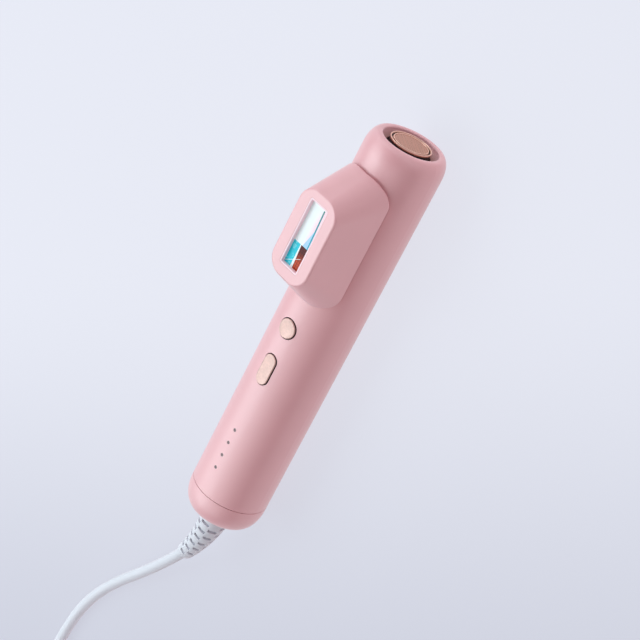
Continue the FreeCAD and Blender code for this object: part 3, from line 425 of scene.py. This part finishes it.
def coil_points():
    """Neat coil, three turns side by side and up to three layers high.  Each turn is a circle, and
    in its last half the cord shifts sideways to the next turn and then climbs if need be."""
    cord = CORD_D / MM
    points = []
    for index in range(int(TURNS * TURN_POINTS)):
        turn, step = divmod(index, TURN_POINTS)
        side, layer = COIL_TRACKS[turn]
        next_side, next_layer = COIL_TRACKS[min(turn + 1, len(COIL_TRACKS) - 1)]
        share = step / TURN_POINTS * 2 - 1
        side += (next_side - side) * ease(share * 2)
        layer += (next_layer - layer) * ease(share * 2 - 1)
        angle = math.pi + 2 * math.pi * (step + 0.5) / TURN_POINTS
        radius = (COIL_MEAN_R + side * cord) / math.cos(math.pi / TURN_POINTS)
        points.append((COIL_CENTRE[0] + radius * math.cos(angle),
                       COIL_CENTRE[1] + radius * math.sin(angle), cord / 2 + layer * cord))
    return points


def make_cord():
    route = LEAD_ROUTE + coil_points() + TAIL_ROUTE
    curve = bpy.data.curves.new("cord", "CURVE")
    curve.dimensions = "3D"
    curve.bevel_depth = CORD_D / 2
    curve.bevel_resolution = 6
    curve.resolution_u = 6
    curve.use_fill_caps = True
    spline = curve.splines.new("NURBS")
    spline.points.add(len(route) - 1)
    for point, place in zip(spline.points, route):
        point.co = (*(Vector(place) * MM), 1.0)
    spline.order_u = 3
    spline.use_endpoint_u = True
    cord = bpy.data.objects.new("cord", curve)
    bpy.context.scene.collection.objects.link(cord)
    curve.materials.append(white_jacket())
    return cord


RELIEF_SEGMENTS = 72
SLOT_LEVELS, SLOTS_ROUND, SLOT_ARC, SLOT_TURN = 11, 4, 8, 2     # the last two in segments
SLOT_FROM, SLOT_TO = 0.15, 0.95
SLOT_SINK = 0.18         # depth of a slot, as a share of the sleeve's radius


def new_object(name, mesh, material):
    obj = bpy.data.objects.new(name, mesh)
    bpy.context.scene.collection.objects.link(obj)
    mesh.materials.append(material)
    for polygon in mesh.polygons:
        polygon.use_smooth = True
    return obj


def soften(obj, width):
    """Round the edges that turn by more than 35 degrees."""
    bevel = obj.modifiers.new("edges", "BEVEL")
    bevel.width = width
    bevel.segments = 2
    bevel.limit_method = "ANGLE"
    bevel.angle_limit = math.radians(35)
    weighted = obj.modifiers.new("normals", "WEIGHTED_NORMAL")
    weighted.keep_sharp = True


def make_strain_relief():
    """Tapered sleeve with staggered shallow slots."""
    pitch = (SLOT_TO - SLOT_FROM) / SLOT_LEVELS
    shares = [0.0, 0.06]
    for level in range(SLOT_LEVELS):
        start = SLOT_FROM + level * pitch
        shares += [start + 0.2 * pitch, start + 0.8 * pitch]
    shares += [0.975, 1.0]
    bm = bmesh.new()
    rings = []
    for share in shares:
        along = relief_along(share)
        side = along.cross(Vector((0, 0, 1))).normalized()
        up = side.cross(along)
        radius = RELIEF_ROOT_R + (RELIEF_TIP_R - RELIEF_ROOT_R) * share
        centre = relief_centre(share)
        rings.append([bm.verts.new(centre + (side * math.cos(turn) + up * math.sin(turn)) * radius)
                      for turn in turns_of(RELIEF_SEGMENTS)])
    slots = {}
    for row, (lower, upper) in enumerate(zip(rings[:-1], rings[1:])):
        for k in range(RELIEF_SEGMENTS):
            following = (k + 1) % RELIEF_SEGMENTS
            face = bm.faces.new((lower[k], lower[following], upper[following], upper[k]))
            level, odd = divmod(row - 2, 2)
            if 0 <= level < SLOT_LEVELS and odd == 0:
                period = RELIEF_SEGMENTS // SLOTS_ROUND
                step = (k + SLOT_TURN + (level % 2) * period // 2) % RELIEF_SEGMENTS
                if step % period < SLOT_ARC:
                    slots.setdefault((level, step // period), []).append(face)
    bm.faces.new(reversed(rings[-1]))
    bm.faces.new(rings[0])
    for faces in slots.values():
        made = bmesh.ops.extrude_face_region(bm, geom=faces)["geom"]
        for vert in (item for item in made if isinstance(item, bmesh.types.BMVert)):
            share = min(1.0, max(0.0, (vert.co.y - RELIEF_ROOT.y) / RELIEF_REACH.y))
            centre = relief_centre(share)
            outward = vert.co - centre
            outward -= relief_along(share) * outward.dot(relief_along(share))
            vert.co -= outward * SLOT_SINK
        bmesh.ops.delete(bm, geom=[face for face in faces if face.is_valid], context="FACES")
    bmesh.ops.recalc_face_normals(bm, faces=bm.faces)
    mesh = bpy.data.meshes.new("relief_sleeve")
    bm.to_mesh(mesh)
    bm.free()
    sleeve = new_object("relief_sleeve", mesh, white_jacket())
    soften(sleeve, 0.12 * MM)
    return sleeve


def swept(name, outline, section, material, closed=True):
    """A mesh of a closed section carried along an outline.  The outline lists each place with its
    two axes, and the section lists offsets along those axes."""
    bm = bmesh.new()
    rings = []
    for place, first, second in outline:
        rings.append([bm.verts.new(place + first * u + second * v) for u, v in section])
    pairs = list(zip(rings[:-1], rings[1:]))
    if closed:
        pairs.append((rings[-1], rings[0]))
    count = len(section)
    for one, two in pairs:
        for k in range(count):
            bm.faces.new((one[k], one[(k + 1) % count], two[(k + 1) % count], two[k]))
    if not closed:
        bm.faces.new(rings[0])
        bm.faces.new(reversed(rings[-1]))
    bmesh.ops.recalc_face_normals(bm, faces=bm.faces)
    mesh = bpy.data.meshes.new(name)
    bm.to_mesh(mesh)
    bm.free()
    return new_object(name, mesh, material)


BEAD_STEPS, BEAD_SIDES = 96, 12


def turns_of(count):
    return [2 * math.pi * k / count for k in range(count)]


def make_bead(name, radius, at, thickness, material):
    """Fine polished bead round the vent's axis, with a round section of the given radius."""
    centre = Vector((0, at, AXIS_Z))
    outline = []
    for turn in turns_of(BEAD_STEPS):
        out = Vector((math.cos(turn), 0, math.sin(turn)))
        outline.append((centre + out * radius, out, Vector((0, 1, 0))))
    section = [(thickness * math.cos(turn), thickness * math.sin(turn)) for turn in turns_of(BEAD_SIDES)]
    return swept(name, outline, section, material)


def make_beads():
    """One bead on the crest of the vent's ring and one on the edge of its disc, in a rose gold paler than
    the vent's: a painted highlight that makes them show as thin bright lines.
    """
    # painted highlight: the beads' rose gold is paler than the vent's
    pale_highlight_gold = grained("rose_gold_painted_highlight", srgb(242, 200, 184), 0.36, scale=200.0, depth=0.000002,
                       spread=0.04, Metallic=0.6)
    beads = [make_bead("ring_bead", RING_HIGH.x - 0.3 * MM, RING_HIGH.y, 0.28 * MM, pale_highlight_gold),
             make_bead("disc_bead", DISC_HIGH.x - 0.45 * MM, DISC_HIGH.y - 0.05 * MM, 0.25 * MM, pale_highlight_gold)]
    for bead in beads:
        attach(bead, "handle")


TIE_LOW, TIE_HIGH = (Vector(corner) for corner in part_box("cord_tie"))
STRAP_GAP, STRAP_THICK = 0.35 * MM, 0.9 * MM
STRAP_FROM, STRAP_STEPS = -60, 72         # where the loop starts, in degrees, and its steps
END_FROM, END_TO, END_STEPS = 20, 118, 30  # the same of the end that laps over it


def make_tie():
    """Hook-and-loop strap hugging the turns where it crosses them, with its end lapped over."""
    middle_y = (COIL_CENTRE[1] - COIL_MEAN_R) * MM
    turns = [Vector((middle_y - side * CORD_D, CORD_D / 2 + layer * CORD_D))
             for side, layer in COIL_TRACKS]
    half = (TIE_HIGH.x - TIE_LOW.x) / 2
    centre_x = (TIE_LOW.x + TIE_HIGH.x) / 2

    def lap(start, end, steps, lift):
        """Places round the outermost turns between two angles in degrees."""
        outline = []
        for k in range(steps + 1):
            angle = math.radians(start + (end - start) * k / steps)
            out = Vector((math.cos(angle), math.sin(angle)))
            furthest = max(turns, key=lambda turn: turn.dot(out))
            place = furthest + out * (CORD_D / 2 + STRAP_GAP + lift)
            outline.append((Vector((centre_x, place.x, max(0.0, place.y))),
                            Vector((0, out.x, out.y)), Vector((1, 0, 0))))
        return outline

    edge = 0.25 * STRAP_THICK
    section = [(0, -half + edge), (edge, -half), (STRAP_THICK - edge, -half), (STRAP_THICK, -half + edge),
               (STRAP_THICK, half - edge), (STRAP_THICK - edge, half), (edge, half), (0, half - edge)]
    weave = grained("tie_weave", srgb(214, 214, 220), 0.9, scale=2600.0, depth=0.00008)
    around = lap(STRAP_FROM, STRAP_FROM + 360, STRAP_STEPS, 0.0)[:-1]
    strap = swept("tie_strap", around, section, weave)
    over = lap(END_FROM, END_TO, END_STEPS, STRAP_THICK)
    end = swept("tie_end", over, section, weave, closed=False)
    for piece in (strap, end):
        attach(piece, "handle")
    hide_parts("cord_tie")
    return strap, end


# ---------------------------------------------------------------- studio
CAMERA_AZIMUTH, CAMERA_ELEVATION, CAMERA_ROLL = 130.425, 48.438, 94.829
CAMERA_DISTANCE, CAMERA_LENS, SENSOR = 1.00861, 123.58, 36.0
AIM = Vector((-12.3, -2.2, 0.0)) * MM


def make_camera():
    """Camera that looks at AIM, rolled about its own line of sight."""
    back = towards(CAMERA_AZIMUTH, CAMERA_ELEVATION)
    ahead = -back
    roll = math.radians(CAMERA_ROLL)
    level_up = (Vector((0, 0, 1)) - ahead * ahead.z).normalized()
    level_right = ahead.cross(level_up)
    up = level_up * math.cos(roll) + level_right * math.sin(roll)
    right = ahead.cross(up)
    turn = Matrix((right, up, back)).transposed()
    data = bpy.data.cameras.new("camera")
    data.lens, data.sensor_width = CAMERA_LENS, SENSOR
    data.clip_start, data.clip_end = 0.01, 50.0
    camera = bpy.data.objects.new("camera", data)
    camera.matrix_world = Matrix.Translation(AIM + back * CAMERA_DISTANCE) @ turn.to_4x4()
    bpy.context.scene.collection.objects.link(camera)
    bpy.context.scene.camera = camera


FLOOR_PALE, FLOOR_DIM = (0.70, 0.715, 0.79), (0.52, 0.535, 0.62)
FLOOR_BOUNCE = (0.75, 0.68, 0.70)
FLOOR_SIZE, FLOOR_DROP = 8.0, 0.0002
FADE_WAY, FADE_FROM, FADE_TO = (-0.6, 0.8), -0.19, 0.05   # where the floor dims, and along which way
BACKDROP_LIGHT, BACKDROP_SEEN = 0.08, 1.1
# Soft panels round the object: azimuth, elevation, watts and tint.
PANELS = {
    "key": (315, 50, 11.2, (0.87, 0.98, 1.00)), "side": (270, 50, 10.6, (0.86, 0.97, 1.00)),
    "front": (0, 50, 5.8, (0.92, 0.98, 1.00)), "warm_fill": (45, 50, 4.0, (1.00, 0.88, 0.88)),
    "end_left": (225, 20, 8.5, (0.92, 0.98, 1.00)), "end": (180, 18, 4.7, (0.96, 0.96, 1.00)),
    "end_right": (135, 18, 5.1, (1.00, 0.90, 0.92)), "low_front": (315, 18, 2.9, (0.80, 0.97, 1.00)),
}
PANEL_DISTANCE, PANEL_SIZE = 1.6, 1.2


def towards(azimuth, elevation):
    azimuth, elevation = math.radians(azimuth), math.radians(elevation)
    return Vector((math.sin(azimuth) * math.cos(elevation),
                   -math.cos(azimuth) * math.cos(elevation), math.sin(elevation)))


def make_floor():
    """Pale sheet that glows, so the shadows on it stay faint, and dims slowly towards one side.
    The light it throws back up at the object is a little warmer than its own look."""
    m = Maker("studio_floor", (0.1, 0.1, 0.11), 0.9, Specular_IOR_Level=0.0)
    place = m.split()
    across = m.math("ADD", m.math("MULTIPLY", place["X"], FADE_WAY[0]),
                    m.math("MULTIPLY", place["Y"], FADE_WAY[1]))
    mottled = m.math("ADD", across, m.math("MULTIPLY", m.noise(3.0, 1.0), 0.02))
    glow = m.node("ShaderNodeMapRange", interpolation_type="SMOOTHSTEP")
    for index, value in enumerate((mottled, FADE_FROM, FADE_TO)):
        m.feed(value, glow.inputs[index])
    seen = m.node("ShaderNodeLightPath").outputs["Is Camera Ray"]
    shown = m.mix(glow.outputs[0], FLOOR_DIM, FLOOR_PALE)
    m.link(m.mix(seen, FLOOR_BOUNCE, shown), m.surface.inputs["Emission Color"])
    m.surface.inputs["Emission Strength"].default_value = 1.0
    bpy.ops.mesh.primitive_plane_add(size=FLOOR_SIZE, location=(0, 0, -FLOOR_DROP))
    floor = bpy.context.object
    floor.name = "studio_floor"
    floor.data.materials.append(m.material)


def make_panel(name, azimuth, elevation, watts, tint):
    """Square soft panel that faces the object from a direction."""
    data = bpy.data.lights.new(name, "AREA")
    data.shape, data.size = "SQUARE", PANEL_SIZE
    data.energy, data.color = watts, tint
    panel = bpy.data.objects.new(name, data)
    way = towards(azimuth, elevation)
    panel.location = way * PANEL_DISTANCE
    panel.rotation_euler = (-way).to_track_quat("-Z", "Y").to_euler()
    bpy.context.scene.collection.objects.link(panel)


def make_studio():
    """Soft panels, and a backdrop that is pale to look at but lights the object only faintly."""
    scene = bpy.context.scene
    scene.view_settings.view_transform = "Standard"
    world = bpy.data.worlds.new("studio")
    scene.world = world
    world.use_nodes = True
    tree = world.node_tree
    backdrop = tree.nodes["Background"]
    backdrop.inputs["Color"].default_value = (*FLOOR_PALE, 1.0)
    seen = tree.nodes.new("ShaderNodeLightPath")
    strength = tree.nodes.new("ShaderNodeMapRange")
    strength.inputs["To Min"].default_value = BACKDROP_LIGHT
    strength.inputs["To Max"].default_value = BACKDROP_SEEN
    tree.links.new(seen.outputs["Is Camera Ray"], strength.inputs["Value"])
    tree.links.new(strength.outputs[0], backdrop.inputs["Strength"])
    for name, settings in PANELS.items():
        make_panel(name, *settings)


# ---------------------------------------------------------------- put together
dress_nodes()
make_camera()
make_studio()
make_floor()

sleeve = make_strain_relief()
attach(sleeve, "handle")
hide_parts("strain_relief")

make_beads()
straps = make_tie()
cord = make_cord()
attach(cord, "handle")
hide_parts("cord_lead", "cord_coil", "cord_tail")
